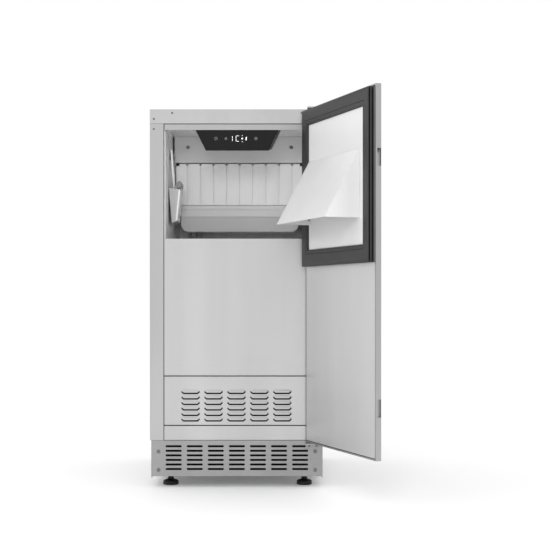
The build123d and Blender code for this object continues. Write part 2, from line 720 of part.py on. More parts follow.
inner_panel = block((-185.8, 185.8), (DOOR_INSIDE - 0.8, DOOR_INSIDE), (DOOR_Z0 + 3.2, DOOR_Z1 - 3.2))
save("door_inner_panel", hang(inner_panel))

door_core = block((-187.8, 187.8), (DOOR_FACE + 1.1, DOOR_INSIDE - 1.1), (DOOR_Z0 + 1.2, DOOR_Z1 - 1.2))
door_core = door_core - core_notches - hinge_bores
save("door_core", hang(door_core))

bushes = []
for z0, z1 in ((DOOR_Z1 - 13, DOOR_Z1), (DOOR_Z0, DOOR_Z0 + 13)):
    bush = rod((HINGE_X, HINGE_Y, z0), (HINGE_X, HINGE_Y, z1), BUSH_R)
    bushes.append(hang(bush - rod((HINGE_X, HINGE_Y, z0 - 1), (HINGE_X, HINGE_Y, z1 + 1), BUSH_BORE)))
save("hinge_bushes", *bushes)


def frame_ring(outer, inner, y):
    """A rectangular ring standing on the door's inside."""
    ring = block(outer[0], y, outer[1])
    return ring - block(inner[0], (y[0] - 1, y[1] + 1), inner[1])


def door_gasket():
    """Soft dark seal frame with two grooves round its side, cut back by the hinge."""
    ring = frame_ring(GASKET_OUT, GASKET_IN, (DOOR_INSIDE, GASKET_FACE))
    x0, x1 = GASKET_OUT[0]
    z0, z1 = GASKET_OUT[1]
    for y in (-291.0, -286.0):
        groove = block((x0 - 1, x1 + 1), (y, y + 1.6), (z0 - 1, z1 + 1))
        groove -= block((x0 + 1.6, x1 - 1.6), (y, y + 1.6), (z0 + 1.6, z1 - 1.6))
        ring -= groove
    wedge = ((x1 - 7.2, GASKET_FACE + 0.1), (x1 + 1, GASKET_FACE + 0.1), (x1 + 1, GASKET_FACE - 3.6))
    cut = extrude(make_face(Polyline(*wedge, close=True)), amount=z1 - z0 + 4)
    return ring - Pos(0, 0, z0 - 2) * cut


save("door_gasket", hang(door_gasket()))


def door_liner():
    """White formed panel inside the seal frame, standing 10 mm off the steel."""
    x0, x1 = GASKET_IN[0]
    z0, z1 = GASKET_IN[1]
    tray = block((x0 + 0.2, x1 - 0.2), (DOOR_INSIDE, DOOR_INSIDE + 10), (z0 + 0.2, z1 - 0.2))
    tray -= block((x0 + 2.2, x1 - 2.2), (DOOR_INSIDE - 1, DOOR_INSIDE + 8), (z0 + 2.2, z1 - 2.2))
    return tray


save("door_liner", hang(door_liner()))

# Ice chute on the door's liner
CHUTE_X = (-133.0, 143.0)
CHUTE_TOP = 704.0
CHUTE_LOW = 569.0
CHUTE_FOOT = DOOR_INSIDE + 10
CHUTE_OUT = -212.6


def ice_chute():
    """White wedge that guides ice down into the bin; open underneath, with side flanges."""
    outer = ((CHUTE_FOOT, CHUTE_TOP), (CHUTE_FOOT, CHUTE_LOW), (CHUTE_OUT, CHUTE_LOW))
    inner = ((CHUTE_FOOT - 1, CHUTE_TOP - 2.6), (CHUTE_FOOT - 1, CHUTE_LOW - 1))
    inner += ((CHUTE_OUT - 2.0, CHUTE_LOW - 1), (CHUTE_OUT - 2.4, CHUTE_LOW + 0.4))
    chute = prism_x(CHUTE_X, outer) - prism_x((CHUTE_X[0] + 2, CHUTE_X[1] - 2), inner)
    foot = (CHUTE_FOOT, CHUTE_FOOT + 1.6)
    chute += block((CHUTE_X[0] + 1, CHUTE_X[0] + 12), foot, (CHUTE_LOW, CHUTE_TOP - 12))
    chute += block((CHUTE_X[1] - 12, CHUTE_X[1] - 1), foot, (CHUTE_LOW, CHUTE_TOP - 12))
    for x, z in CHUTE_SCREWS:
        chute -= hole_y(x, z, 1.6)
    return chute


CHUTE_SCREWS = [(x, z) for x in (CHUTE_X[0] + 7, CHUTE_X[1] - 7) for z in (580.0, 670.0)]
save("ice_chute", hang(ice_chute()))

chute_screws = []
for x, z in CHUTE_SCREWS:
    head = rod((x, CHUTE_FOOT + 1.6, z), (x, CHUTE_FOOT + 3.4, z), 3.2)
    chute_screws.append(hang(head + rod((x, CHUTE_FOOT, z), (x, CHUTE_FOOT + 1.7, z), 1.5)))
save("chute_screws", *chute_screws)
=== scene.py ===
import json
import math

import bmesh
import bpy
from mathutils import Matrix, Vector


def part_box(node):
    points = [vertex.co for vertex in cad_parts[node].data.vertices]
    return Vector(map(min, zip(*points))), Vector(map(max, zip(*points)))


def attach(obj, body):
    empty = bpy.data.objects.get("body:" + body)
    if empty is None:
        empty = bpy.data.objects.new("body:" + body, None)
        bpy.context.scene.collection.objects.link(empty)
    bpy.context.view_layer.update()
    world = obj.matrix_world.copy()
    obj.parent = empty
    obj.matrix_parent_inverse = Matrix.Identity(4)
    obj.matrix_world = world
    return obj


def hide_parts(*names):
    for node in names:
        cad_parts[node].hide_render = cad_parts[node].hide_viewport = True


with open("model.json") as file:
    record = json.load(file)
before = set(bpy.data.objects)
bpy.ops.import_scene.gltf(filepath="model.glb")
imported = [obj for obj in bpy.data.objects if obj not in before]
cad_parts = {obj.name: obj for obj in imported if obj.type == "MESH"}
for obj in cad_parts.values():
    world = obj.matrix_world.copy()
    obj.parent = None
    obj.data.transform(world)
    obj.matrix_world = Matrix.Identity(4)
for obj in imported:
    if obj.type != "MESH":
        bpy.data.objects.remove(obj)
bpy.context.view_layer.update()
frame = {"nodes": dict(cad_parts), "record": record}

# ---------------------------------------------------------------------------
# Cabinet skin: brushed stainless sheet, about 1 mm thick, folded on a press
# brake. The front jambs are part of the side panels; the rail over the
# opening and the top panel are separate sheets laid against them.
# ---------------------------------------------------------------------------
MM = 0.001
BODY_OF = {}
for body_name, node_names in frame["record"]["behaviour"]["bodies"].items():
    for node_name in node_names:
        BODY_OF[node_name] = body_name


def linear(hex_colour):
    """An sRGB hex colour as the linear RGBA that a shader takes."""
    rgb = []
    for start in (1, 3, 5):
        value = int(hex_colour[start:start + 2], 16) / 255
        rgb.append(value / 12.92 if value <= 0.04045 else ((value + 0.055) / 1.055) ** 2.4)
    return (*rgb, 1.0)


def add(tree, kind, sockets=None, **settings):
    """Adds one node with its settings; a socket takes a value or a link from another node."""
    made = tree.nodes.new(kind)
    for key, value in settings.items():
        setattr(made, key, value)
    for key, value in (sockets or {}).items():
        if isinstance(value, bpy.types.NodeSocket):
            tree.links.new(value, made.inputs[key])
        else:
            made.inputs[key].default_value = value
    return made


def finish(name, light, dark, mottle_mm, rough, grain_mm, grain_height_mm, stretch=(1, 1, 1),
           edge_mm=0.4, shader=None, drift=(1, 1, 1)):
    """A surface whose colour drifts between two tones, with its own grain in gloss and relief."""
    made = bpy.data.materials.new(name)
    made.use_nodes = True
    tree = made.node_tree
    tree.nodes.clear()
    place = add(tree, "ShaderNodeTexCoord").outputs["Object"]
    along = add(tree, "ShaderNodeMapping", {"Vector": place, "Scale": stretch}).outputs["Vector"]
    spread = add(tree, "ShaderNodeMapping", {"Vector": place, "Scale": drift}).outputs["Vector"]
    mottle = add(tree, "ShaderNodeTexNoise", {
        "Vector": spread, "Scale": 1 / (mottle_mm * MM), "Detail": 3.0, "Roughness": 0.55})
    tone = add(tree, "ShaderNodeMix", {
        "Factor": mottle.outputs["Fac"], "A": linear(light), "B": linear(dark)},
        data_type="RGBA")
    grain = add(tree, "ShaderNodeTexNoise", {
        "Vector": along, "Scale": 1 / (grain_mm * MM), "Detail": 4.0, "Roughness": 0.6})
    gloss = add(tree, "ShaderNodeMapRange", {
        "Value": grain.outputs["Fac"], "From Min": 0.25, "From Max": 0.75,
        "To Min": rough[0], "To Max": rough[1]})
    rounded = add(tree, "ShaderNodeBevel", {"Radius": edge_mm * MM}, samples=4)
    relief = add(tree, "ShaderNodeBump", {
        "Height": grain.outputs["Fac"], "Distance": grain_height_mm * MM, "Strength": 1.0,
        "Normal": rounded.outputs["Normal"]})
    surface = add(tree, "ShaderNodeBsdfPrincipled", {
        "Base Color": tone.outputs["Result"], "Roughness": gloss.outputs["Result"],
        "Normal": relief.outputs["Normal"]})
    for key, value in (shader or {}).items():
        surface.inputs[key].default_value = value
    if "Anisotropic" in (shader or {}):
        brushing = add(tree, "ShaderNodeTangent", direction_type="RADIAL", axis="Z")
        tree.links.new(brushing.outputs["Tangent"], surface.inputs["Tangent"])
    add(tree, "ShaderNodeOutputMaterial", {"Surface": surface.outputs["BSDF"]})
    return made


def paint(material, *nodes):
    """Gives CAD nodes their finish."""
    for node in nodes:
        for slot in frame["nodes"][node].material_slots:
            slot.material = material


# Stainless 304 with a No. 4 finish: fine parallel scratches, so highlights smear
# across the grain. The scratches are drawn 0.5 mm apart, coarser than real, to show.
UPRIGHT = {"Metallic": 1.0, "Anisotropic": 0.6}
ACROSS = {"Metallic": 1.0, "Anisotropic": 0.6, "Anisotropic Rotation": 0.25}
BANDS = (1, 1, 0.12)
stainless_upright = finish("stainless_brushed_upright", "#c4c4c4", "#aeaeae", 110, (0.30, 0.46),
                           0.9, 0.012, (1, 1, 0.012), 0.8, UPRIGHT, BANDS)
# The across-grain copy is lighter than the jambs' steel: painted reflection, for the brighter look
# of the front panels and rails.
stainless_across_painted_reflection = finish("stainless_brushed_across_painted_reflection", "#d2d2d2", "#b4b4b4", 130, (0.28, 0.44),
                          0.9, 0.012, (0.012, 1, 1), 0.8, ACROSS, BANDS)
# The plinth's copy is darker: painted shade, standing in for the dark floor it reflects.
stainless_plinth_painted_shade = finish("stainless_brushed_plinth_painted_shade", "#b0b0b0", "#979797", 110, (0.30, 0.46),
                        0.9, 0.012, (0.012, 1, 1), 0.8, ACROSS, BANDS)
# The door's copy is darker than the cabinet's steel: painted shade.
stainless_door_painted_shade = finish("stainless_brushed_door_painted_shade", "#b6b6b6", "#a6a6a6", 110, (0.30, 0.46),
                        0.9, 0.012, (1, 1, 0.012), 0.8, UPRIGHT, BANDS)
paint(stainless_upright, "left_side_panel", "right_side_panel")
paint(stainless_across_painted_reflection, "front_top_rail", "top_panel", "upper_hinge_bracket")
paint(stainless_plinth_painted_shade, "kick_plate", "lower_hinge_bracket")

# ---------------------------------------------------------------------------
# Back and under parts of galvanised sheet: rear panel, deck, base pan, covers.
# Hot-dip zinc leaves a faint spangle of grey patches a few millimetres wide.
# ---------------------------------------------------------------------------
galvanised = finish("galvanised_sheet", "#adafb0", "#8e9091", 9, (0.35, 0.6), 3.0, 0.01,
                    (1, 1, 1), 0.6, {"Metallic": 0.85})
paint(galvanised, "rear_panel", "machine_deck", "base_frame", "machine_rear_cover", "fan_shroud")

# ---------------------------------------------------------------------------
# Screws: zinc-plated pan heads with a cross recess, all driven into the case,
# the hinge brackets and the covers. Plating has a slightly blue cast; its tone is
# set dark as painted shade, for the shadows round the heads.
# ---------------------------------------------------------------------------
zinc_plate_painted_shade = finish("zinc_plated_screw_painted_shade", "#8a8c8e", "#6f7173", 2, (0.22, 0.36), 0.4, 0.01,
                    (1, 1, 1), 0.3, {"Metallic": 1.0})


def settle(piece, node, *more):
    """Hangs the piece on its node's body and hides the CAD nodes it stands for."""
    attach(piece, BODY_OF[node])
    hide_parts(node, *more)


def new_piece(name, shape):
    """An object in the scene holding a finished bmesh."""
    mesh = bpy.data.meshes.new(name)
    shape.to_mesh(mesh)
    shape.free()
    piece = bpy.data.objects.new(name, mesh)
    bpy.context.scene.collection.objects.link(piece)
    return piece


def as_mesh(piece):
    """The piece with its modifiers applied as a plain mesh."""
    bpy.context.view_layer.update()
    graph = bpy.context.evaluated_depsgraph_get()
    final = bpy.data.meshes.new_from_object(piece.evaluated_get(graph))
    piece.modifiers.clear()
    piece.data = final
    return piece


def shade(piece, material, angle=28):
    """One material, smooth over gentle curves and sharp at real edges."""
    piece.data.materials.clear()
    piece.data.materials.append(material)
    for face in piece.data.polygons:
        face.use_smooth = True
    piece.data.set_sharp_from_angle(angle=math.radians(angle))


def turned(shape, outline, steps, centre=(0, 0, 0)):
    """A closed body turned about Z from (radius, height) pairs, first and last on the axis."""
    rings = []
    for radius, height in outline:
        spot = Vector(centre)
        if radius == 0:
            rings.append([shape.verts.new(spot + Vector((0, 0, height)))])
            continue
        ring = []
        for k in range(steps):
            turn = 2 * math.pi * k / steps
            ring.append(shape.verts.new(spot + Vector((
                radius * math.cos(turn), radius * math.sin(turn), height))))
        rings.append(ring)
    for lower, upper in zip(rings, rings[1:]):
        for k in range(steps):
            after = (k + 1) % steps
            if len(lower) == 1:
                shape.faces.new((lower[0], upper[after], upper[k]))
            elif len(upper) == 1:
                shape.faces.new((lower[k], lower[after], upper[0]))
            else:
                shape.faces.new((lower[k], lower[after], upper[after], upper[k]))


def slab(shape, low, high):
    """A closed rectangular block added to a bmesh."""
    made = bmesh.ops.create_cube(shape, size=1.0)["verts"]
    for vert in made:
        for axis in range(3):
            vert.co[axis] = low[axis] if vert.co[axis] < 0 else high[axis]
    return made


def islands(node):
    """Lowest and highest corners of each separate solid in a CAD node."""
    shape = bmesh.new()
    shape.from_mesh(frame["nodes"][node].data)
    bmesh.ops.remove_doubles(shape, verts=shape.verts, dist=2e-6)
    left = set(shape.verts)
    boxes = []
    while left:
        group = [left.pop()]
        for vert in group:
            for edge in vert.link_edges:
                other = edge.other_vert(vert)
                if other in left:
                    left.remove(other)
                    group.append(other)
        low = Vector([min(v.co[axis] for v in group) for axis in range(3)])
        high = Vector([max(v.co[axis] for v in group) for axis in range(3)])
        boxes.append((low, high))
    shape.free()
    return sorted(boxes, key=lambda pair: tuple(pair[0]))


def socket(tree, name, kind, direction="INPUT"):
    """A named socket on a geometry tree."""
    return tree.interface.new_socket(name=name, in_out=direction, socket_type=kind)


def set_inputs(modifier, values):
    """Sets a geometry tree's inputs through their identifiers."""
    for item in modifier.node_group.interface.items_tree:
        if item.item_type == "SOCKET" and item.in_out == "INPUT" and item.name in values:
            modifier[item.identifier] = values[item.name]


def screw_tree():
    """Sets one screw on every point, scaled by the point's size and turned at random."""
    tree = bpy.data.node_groups.new("screws_on_points", "GeometryNodeTree")
    socket(tree, "Seats", "NodeSocketGeometry")
    socket(tree, "Screw", "NodeSocketObject")
    socket(tree, "Facing", "NodeSocketRotation")
    socket(tree, "Material", "NodeSocketMaterial")
    socket(tree, "Screws", "NodeSocketGeometry", "OUTPUT")
    given = add(tree, "NodeGroupInput").outputs
    shown = add(tree, "GeometryNodeObjectInfo", {"Object": given["Screw"]})
    spin = add(tree, "FunctionNodeRandomValue", {"Seed": 4}, data_type="FLOAT")
    spin.inputs[3].default_value = math.tau
    about = add(tree, "ShaderNodeCombineXYZ", {"Z": spin.outputs[1]})
    spun = add(tree, "FunctionNodeEulerToRotation", {"Euler": about.outputs["Vector"]})
    both = add(tree, "FunctionNodeRotateRotation", {
        "Rotation": given["Facing"], "Rotate By": spun.outputs["Rotation"]},
        rotation_space="LOCAL")
    size = add(tree, "GeometryNodeInputNamedAttribute", {"Name": "size"}, data_type="FLOAT")
    placed = add(tree, "GeometryNodeInstanceOnPoints", {
        "Points": given["Seats"], "Instance": shown.outputs["Geometry"],
        "Rotation": both.outputs["Rotation"], "Scale": size.outputs["Attribute"]})
    real = add(tree, "GeometryNodeRealizeInstances", {"Geometry": placed.outputs["Instances"]})
    done = add(tree, "GeometryNodeSetMaterial", {
        "Geometry": real.outputs["Geometry"], "Material": given["Material"]})
    add(tree, "NodeGroupOutput", {"Screws": done.outputs["Geometry"]})
    return tree


HEAD_R = 4.2
HEAD_TALL = 2.35
CROSS_HALF = 2.3 * MM
CROSS_SLOT = 0.45 * MM
CROSS_FLOOR = 0.9 * MM
CROSS_TOP = 4 * MM
SIDE_SCREW_REACH = 3.4 * MM
pan_head = bmesh.new()
turned(pan_head, [(r * MM, z * MM) for r, z in (
    (0, -3.0), (2.0, -3.0), (2.0, 0.0), (HEAD_R, 0.0), (HEAD_R, 0.9), (3.7, 1.6), (2.6, 2.1),
    (1.2, 2.3), (0, HEAD_TALL))], 32)
pan_screw = new_piece("pan_screw", pan_head)
cross = bmesh.new()
slab(cross, (-CROSS_HALF, -CROSS_SLOT, CROSS_FLOOR), (CROSS_HALF, CROSS_SLOT, CROSS_TOP))
slab(cross, (-CROSS_SLOT, -CROSS_HALF, CROSS_FLOOR), (CROSS_SLOT, CROSS_HALF, CROSS_TOP))
cross_cutter = new_piece("cross_cutter", cross)
recess = pan_screw.modifiers.new("recess", "BOOLEAN")
recess.object = cross_cutter
recess.operation = "DIFFERENCE"
recess.solver = "EXACT"
recess.use_self = True
as_mesh(pan_screw)
bpy.data.objects.remove(cross_cutter)
screws_on_points = screw_tree()


def screws(node, outward):
    """The node's screws, one for each of its solids, heads standing along outward."""
    facing = Vector(outward)
    seats = bmesh.new()
    size = seats.verts.layers.float.new("size")
    for low, high in islands(node):
        middle = (low + high) / 2
        width = high.z - low.z
        reach = abs(facing.x) * (high.x - low.x) + abs(facing.y) * (high.y - low.y)
        if abs(facing.x) > 0.1:
            reach = SIDE_SCREW_REACH
        scale = width / (2 * HEAD_R * MM)
        seat = seats.verts.new(middle + facing * (reach / 2 - HEAD_TALL * MM * scale))
        seat[size] = scale
    piece = new_piece(node + "_pan_heads", seats)
    growth = piece.modifiers.new("screws", "NODES")
    growth.node_group = screws_on_points
    set_inputs(growth, {"Screw": pan_screw, "Material": zinc_plate_painted_shade,
                        "Facing": facing.to_track_quat("Z", "X").to_euler()})
    as_mesh(piece)
    for face in piece.data.polygons:
        face.use_smooth = True
    piece.data.set_sharp_from_angle(angle=math.radians(30))
    settle(piece, node)
    return piece


JOINTS = {joint["name"]: joint for joint in frame["record"]["behaviour"]["joints"]}
OPEN_TURN = -math.radians(JOINTS["door_hinge"]["range_deg"][0])
hinge = Vector(JOINTS["door_hinge"]["pos_m"])
TO_OPEN = (Matrix.Translation(hinge) @ Matrix.Rotation(OPEN_TURN, 4, "Z")
           @ Matrix.Translation(-hinge))
door_inward = Matrix.Rotation(OPEN_TURN, 3, "Z") @ Vector((0, 1, 0))
screws("case_screws", (0, -1, 0))
screws("hinge_screws", (0, -1, 0))
screws("cover_screws", (0, -1, 0))
screws("chute_screws", door_inward)
bpy.data.objects.remove(pan_screw)

# ---------------------------------------------------------------------------
# Folded and moulded pieces with eased edges. A press or a mould leaves every
# corner with a small radius, so these pieces are re-cut from the CAD solids
# with their edges rounded.
# ---------------------------------------------------------------------------
def eased(node, radius_mm, material, segments=3, angle=32, adjust=None):
    """A copy of a CAD node with merged faces and rounded edges, shown in its place."""
    shape = bmesh.new()
    shape.from_mesh(frame["nodes"][node].data)
    bmesh.ops.remove_doubles(shape, verts=shape.verts, dist=2e-6)
    bmesh.ops.dissolve_limit(shape, angle_limit=math.radians(0.8), verts=shape.verts,
                             edges=shape.edges)
    for vert in shape.verts if adjust else ():
        adjust(vert)
    piece = new_piece(node + "_eased", shape)
    rounding = piece.modifiers.new("rounding", "BEVEL")
    rounding.width = radius_mm * MM
    rounding.segments = segments
    rounding.limit_method = "ANGLE"
    rounding.angle_limit = math.radians(angle)
    rounding.use_clamp_overlap = True
    as_mesh(piece)
    shade(piece, material)
    piece.modifiers.new("flat_faces", "WEIGHTED_NORMAL").keep_sharp = True
    as_mesh(piece)
    settle(piece, node)
    return piece


# Bin front panel: bright brushed sheet over the bin's insulated front wall.
PANEL_EDGE = 159.0 * MM
PANEL_BACKED_OFF = 0.9 * MM


def narrower(vert):
    """Draws a front panel's side folds in from the jambs, which leaves the joint to see."""
    if abs(vert.co.x) > PANEL_EDGE:
        vert.co.x -= math.copysign(PANEL_BACKED_OFF, vert.co.x)


eased("bin_front_panel", 0.35, stainless_across_painted_reflection, adjust=narrower)
eased("lower_front_strip", 0.35, stainless_across_painted_reflection, adjust=narrower)

# White ABS liners, each vacuum-formed in one piece: soft satin with a faint orange peel.
liner_white = finish("abs_white_formed", "#dedede", "#d6d6d6", 120, (0.28, 0.42), 1.8, 0.02,
                     (1, 1, 1), 2.5)
# The compartment's liner is a lighter copy of the same ABS: painted light inside the compartment.
liner_white_painted_light = finish("abs_white_formed_painted_light", "#f4f4f4", "#eeeeee", 120, (0.28, 0.42), 1.8, 0.02,
                      (1, 1, 1), 2.5)
eased("compartment_liner", 1.6, liner_white_painted_light)
trim_grey = finish("abs_trim_pale_grey", "#a6a6a6", "#9e9e9e", 80, (0.3, 0.42), 1.2, 0.01)
STRIP_EDGE = 793 * MM
STRIP_LOWERED = 792.4 * MM


def lower_top(vert):
    """Drops the strip's top edge, so that a joint shows under the rail."""
    if vert.co.z > STRIP_EDGE:
        vert.co.z = STRIP_LOWERED


eased("top_trim_strip", 0.4, trim_grey, adjust=lower_top)

# Injection-moulded white polystyrene: the ice-making head's cover, trough and frame.
moulded_white = finish("polystyrene_white_moulded", "#dfdfdf", "#d5d5d5", 60, (0.30, 0.45), 0.9,
                       0.012, (1, 1, 1), 1.0)
# The curtain's copy is lighter than the rest of the head's white: painted light on the flap.
curtain_white_painted_light = finish("polystyrene_white_painted_light", "#f6f6f6", "#efefef", 60, (0.30, 0.45), 0.9,
                      0.012, (1, 1, 1), 1.0)
eased("upper_cover_panel", 0.6, moulded_white)
eased("evaporator_frame", 0.5, moulded_white)

# The trough's tank leans back under its rim, which is the draft it was moulded with.
RIM_BOTTOM = 604 * MM
TANK_FRONT = -60 * MM
RIDGE_LOW = 617 * MM
RIDGE_HIGH = 620 * MM
RIDGE_LIFT = 2.8 * MM
TANK_LEAN = 0.42


def lean_back(vert):
    """Moves the tank's front wall towards the back in proportion to its depth."""
    if vert.co.y < TANK_FRONT and vert.co.z < RIM_BOTTOM - 0.1 * MM:
        vert.co.y += (RIM_BOTTOM - vert.co.z) * TANK_LEAN
    if RIDGE_LOW < vert.co.z < RIDGE_HIGH:
        vert.co.z += RIDGE_LIFT


eased("water_trough", 0.9, moulded_white, adjust=lean_back)
eased("ice_chute", 0.7, moulded_white)
eased("door_liner", 1.6, liner_white)

# Hinge bushes: grey acetal, turned and pressed into the door's two corners.
acetal_grey = finish("acetal_grey_bush", "#929292", "#868686", 10, (0.35, 0.5), 0.8, 0.01)
paint(acetal_grey, "hinge_bushes")

# ---------------------------------------------------------------------------
# Water curtain: one thin moulded flap with nine narrow valleys down its face and
# a small half-round slot through it over each. It hangs by two pins and swings forwards.
# ---------------------------------------------------------------------------
VALLEYS = 9
VALLEY_PITCH = 30.7
VALLEY_HALF = 0.85
VALLEY_DEPTH = 1.9
SLOT_TOP = 727.6
SLOT_WIDTHS = (2.9, 2.8, 2.5, 2.0, 1.2)
SLOT_STEP = 0.75


def row_tree():
    """Repeats one part in columns and rows across the front, then gives it its material."""
    tree = bpy.data.node_groups.new("columns_and_rows", "GeometryNodeTree")
    socket(tree, "Base", "NodeSocketGeometry")
    socket(tree, "Part", "NodeSocketObject")
    socket(tree, "Columns", "NodeSocketInt")
    socket(tree, "Rows", "NodeSocketInt")
    socket(tree, "Width", "NodeSocketFloat")
    socket(tree, "Height", "NodeSocketFloat")
    socket(tree, "Centre", "NodeSocketVector")
    socket(tree, "Material", "NodeSocketMaterial")
    socket(tree, "Parts", "NodeSocketGeometry", "OUTPUT")
    given = add(tree, "NodeGroupInput").outputs
    grid = add(tree, "GeometryNodeMeshGrid", {
        "Size X": given["Width"], "Size Y": given["Height"],
        "Vertices X": given["Columns"], "Vertices Y": given["Rows"]})
    upright = add(tree, "GeometryNodeTransform", {
        "Geometry": grid.outputs["Mesh"], "Translation": given["Centre"],
        "Rotation": (math.pi / 2, 0, 0)})
    shown = add(tree, "GeometryNodeObjectInfo", {"Object": given["Part"]})
    placed = add(tree, "GeometryNodeInstanceOnPoints", {
        "Points": upright.outputs["Geometry"], "Instance": shown.outputs["Geometry"]})
    real = add(tree, "GeometryNodeRealizeInstances", {"Geometry": placed.outputs["Instances"]})
    all_of_it = add(tree, "GeometryNodeJoinGeometry")
    tree.links.new(given["Base"], all_of_it.inputs["Geometry"])
    tree.links.new(real.outputs["Geometry"], all_of_it.inputs["Geometry"])
    done = add(tree, "GeometryNodeSetMaterial", {
        "Geometry": all_of_it.outputs["Geometry"], "Material": given["Material"]})
    add(tree, "NodeGroupOutput", {"Parts": done.outputs["Geometry"]})
    return tree


columns_and_rows = row_tree()


def repeated(piece, part, columns, rows, width, height, centre, material):
    """Adds the part to the piece in columns and rows, and leaves one plain mesh."""
    growth = piece.modifiers.new("rows", "NODES")
    growth.node_group = columns_and_rows
    set_inputs(growth, {"Part": part, "Columns": columns, "Rows": rows, "Width": width * MM,
                        "Height": height * MM, "Centre": centre, "Material": material})
    as_mesh(piece)
    bpy.data.objects.remove(part)
    shade(piece, material)
    return piece


curtain_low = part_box("water_curtain")[0]
pivot = Vector(JOINTS["curtain_swing"]["pos_m"])
FLAP_HALF = 149 * MM
FLAP_THICK = 2.4 * MM
LIP_OUT = 0.8 * MM
LIP_TALL = 2.6 * MM
LUG_INNER = 141 * MM
LUG_TALL = 5.4 * MM
LUG_BEHIND_PIVOT = 3 * MM
PIVOT_PIN_X = 148.9 * MM
PIVOT_PIN_R = 2.5 * MM
PIVOT_PIN_LONG = 7.8 * MM
END_CHAMFER = 0.5 * MM
flap_front = curtain_low.y + LIP_OUT
flap_back = flap_front + FLAP_THICK
flap_bottom = curtain_low.z
flap_top = 728.4 * MM


def valley_middle(k):
    """Where one of the valleys runs down the flap."""
    return (k - (VALLEYS - 1) / 2) * VALLEY_PITCH * MM


def flap_outline(half_width, depth, shape):
    """The flap cut across, with nine recesses of one profile along its face."""
    line = [(-FLAP_HALF, flap_back), (-FLAP_HALF, flap_front + END_CHAMFER),
            (-FLAP_HALF + END_CHAMFER, flap_front)]
    for k in range(VALLEYS):
        for step, share in shape:
            line.append((valley_middle(k) + step * half_width * MM,
                         flap_front + share * depth * MM))
    return line + [(FLAP_HALF - END_CHAMFER, flap_front), (FLAP_HALF, flap_front + END_CHAMFER),
                   (FLAP_HALF, flap_back)]


valley_line = flap_outline(VALLEY_HALF, VALLEY_DEPTH, (
    (-1.6, 0), (-1.0, 0.12), (-0.45, 1), (0.45, 1), (1.0, 0.12), (1.6, 0)))


def extruded(shape, outline, low, high):
    """A closed prism from an outline in X and Y, carried up in Z."""
    floor_ring = [shape.verts.new((x, y, low)) for x, y in outline]
    roof_ring = [shape.verts.new((x, y, high)) for x, y in outline]
    count = len(outline)
    for k in range(count):
        after = (k + 1) % count
        shape.faces.new((floor_ring[k], floor_ring[after], roof_ring[after], roof_ring[k]))
    shape.faces.new(list(reversed(floor_ring)))
    shape.faces.new(roof_ring)


flap = bmesh.new()
smooth_line = [(-FLAP_HALF, flap_back), (-FLAP_HALF, flap_front), (FLAP_HALF, flap_front),
               (FLAP_HALF, flap_back)]
band_top = SLOT_TOP * MM
for half_width in SLOT_WIDTHS:
    band_bottom = band_top - SLOT_STEP * MM
    left = -FLAP_HALF
    for k in range(VALLEYS):
        slab(flap, (left, flap_front, band_bottom),
             (valley_middle(k) - half_width * MM, flap_back, band_top))
        left = valley_middle(k) + half_width * MM
    slab(flap, (left, flap_front, band_bottom), (FLAP_HALF, flap_back, band_top))
    band_top = band_bottom
extruded(flap, valley_line, flap_bottom + LIP_TALL, band_top)
extruded(flap, smooth_line, flap_bottom, flap_bottom + LIP_TALL)
extruded(flap, smooth_line, SLOT_TOP * MM, flap_top)
slab(flap, (-FLAP_HALF, flap_front - LIP_OUT, flap_bottom),
     (FLAP_HALF, flap_front, flap_bottom + LIP_TALL))
for side in (-1, 1):
    near, far = sorted((side * LUG_INNER, side * FLAP_HALF))
    slab(flap, (near, flap_front, flap_top - LUG_TALL),
         (far, pivot.y + LUG_BEHIND_PIVOT, flap_top))
    pin = bmesh.ops.create_cone(flap, cap_ends=True, segments=20, radius1=PIVOT_PIN_R,
                                radius2=PIVOT_PIN_R, depth=PIVOT_PIN_LONG)["verts"]
    pin_place = Matrix.Translation((side * PIVOT_PIN_X, pivot.y, pivot.z))
    bmesh.ops.transform(flap, verts=pin, matrix=pin_place @ Matrix.Rotation(math.pi / 2, 4, "Y"))
bmesh.ops.recalc_face_normals(flap, faces=flap.faces)
curtain = new_piece("water_curtain_flap", flap)
shade(curtain, curtain_white_painted_light)
settle(curtain, "water_curtain")

# ---------------------------------------------------------------------------
# Control head: black textured ABS housing, with a gloss black touch fascia.
# ---------------------------------------------------------------------------
black_abs = finish("abs_black_textured", "#191919", "#121212", 30, (0.42, 0.6), 0.7, 0.03,
                   (1, 1, 1), 1.2, {"Specular IOR Level": 0.3})
gloss_black = finish("acrylic_black_gloss", "#101011", "#0b0b0c", 60, (0.06, 0.12), 2.0, 0.002,
                     (1, 1, 1), 0.5, {"Specular IOR Level": 0.25})
eased("control_housing", 1.5, black_abs)
eased("control_fascia", 0.4, gloss_black)

# Lit marks under the fascia: touch symbols and a two-digit display, all generic.
LIT_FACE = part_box("control_fascia")[0].y
MARK_Z = 762.0
MARK_PROUD = 0.25 * MM
MARK_SUNK = 0.1 * MM
lit_white = finish("display_white_lit", "#ffffff", "#f4f6ff", 8, (0.3, 0.4), 1.0, 0.0,
                   shader={"Emission Color": (1, 1, 1, 1), "Emission Strength": 0.6})
dim_white = finish("symbol_grey_printed", "#8b8b8c", "#7b7b7c", 8, (0.3, 0.4), 1.0, 0.0,
                   shader={"Emission Color": (1, 1, 1, 1), "Emission Strength": 0.05})


def plate(shape, outline):
    """A thin raised mark on the fascia, from an outline in X and Z."""
    front = [shape.verts.new((x * MM, LIT_FACE - MARK_PROUD, z * MM)) for x, z in outline]
    back = [shape.verts.new((x * MM, LIT_FACE + MARK_SUNK, z * MM)) for x, z in outline]
    for k in range(len(outline)):
        after = (k + 1) % len(outline)
        shape.faces.new((front[k], front[after], back[after], back[k]))
    shape.faces.new(list(reversed(front)))
    shape.faces.new(back)


